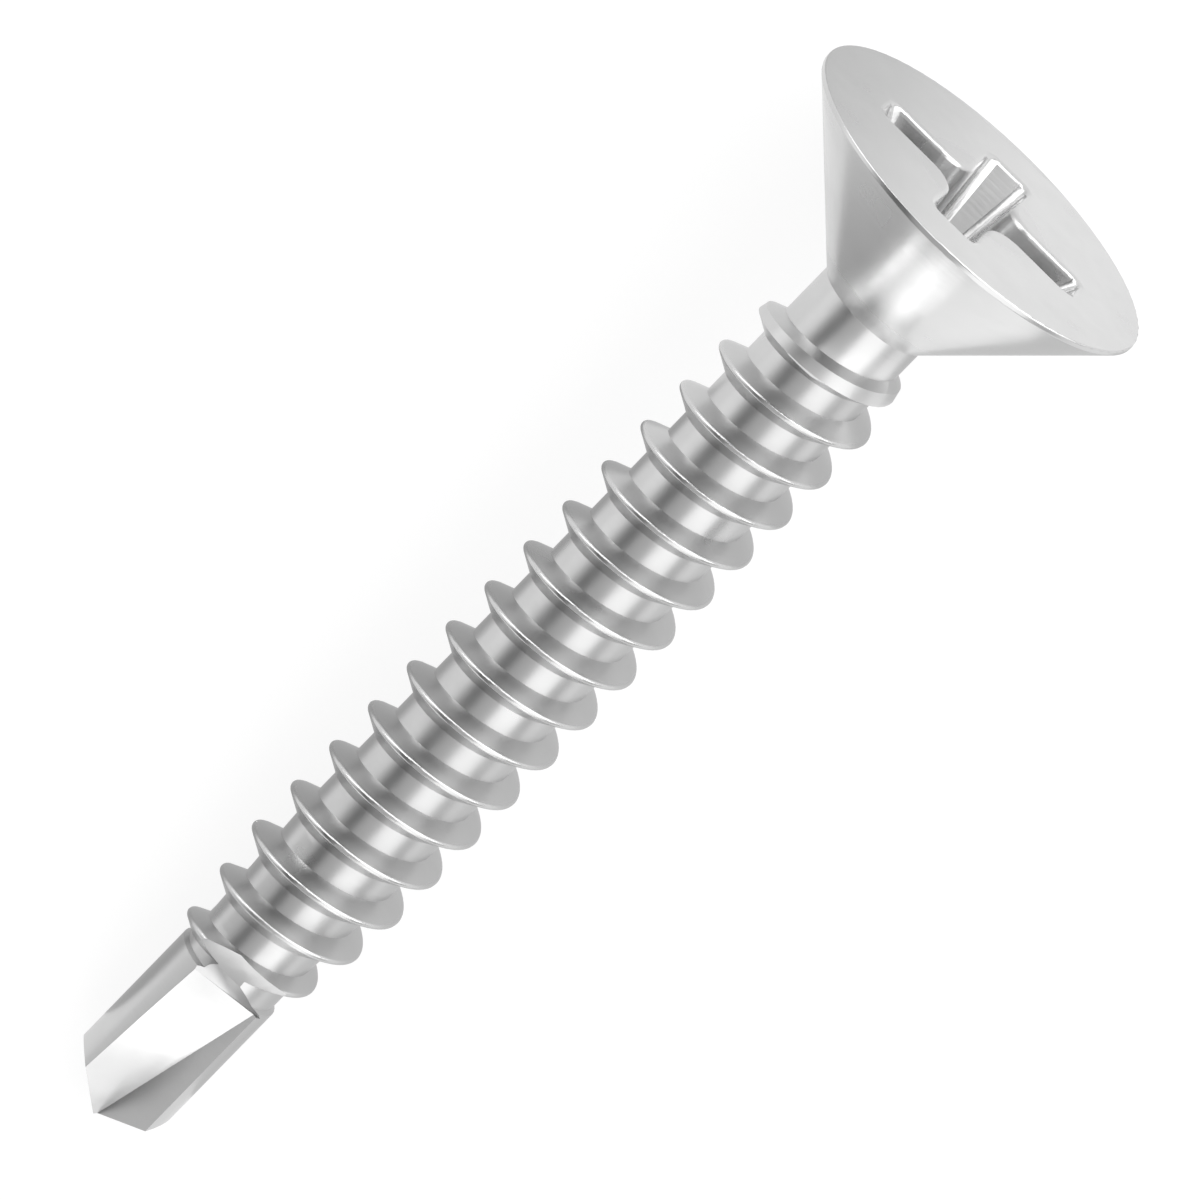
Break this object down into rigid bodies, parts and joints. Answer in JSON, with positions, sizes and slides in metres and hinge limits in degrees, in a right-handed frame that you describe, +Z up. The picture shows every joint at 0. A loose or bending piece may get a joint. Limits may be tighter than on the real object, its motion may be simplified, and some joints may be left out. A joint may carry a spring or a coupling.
{
  "type": "self-drilling tapping screw",
  "caption": "Countersunk cross-recess screw with a coarse thread and a fluted drill point, for fixing sheet metal or boards to steel without a pilot hole.",
  "frame": {"origin": "centre of the floor under the screw as it lies, on its head's rim and on a crest near the end of its thread", "axes": "+X along the screw towards its head, level; +Z up; +Y across, to the screw's left when seen from its upper side with the head away"},
  "size_m": [0.0324, 0.01, 0.0099],
  "materials": {
    "zinc_plated_steel": "bright zinc plating over rolled and forged steel, smooth and silvery"
  },
  "bodies": {
    "root": {"screw": "zinc_plated_steel"}
  },
  "joints": []
}
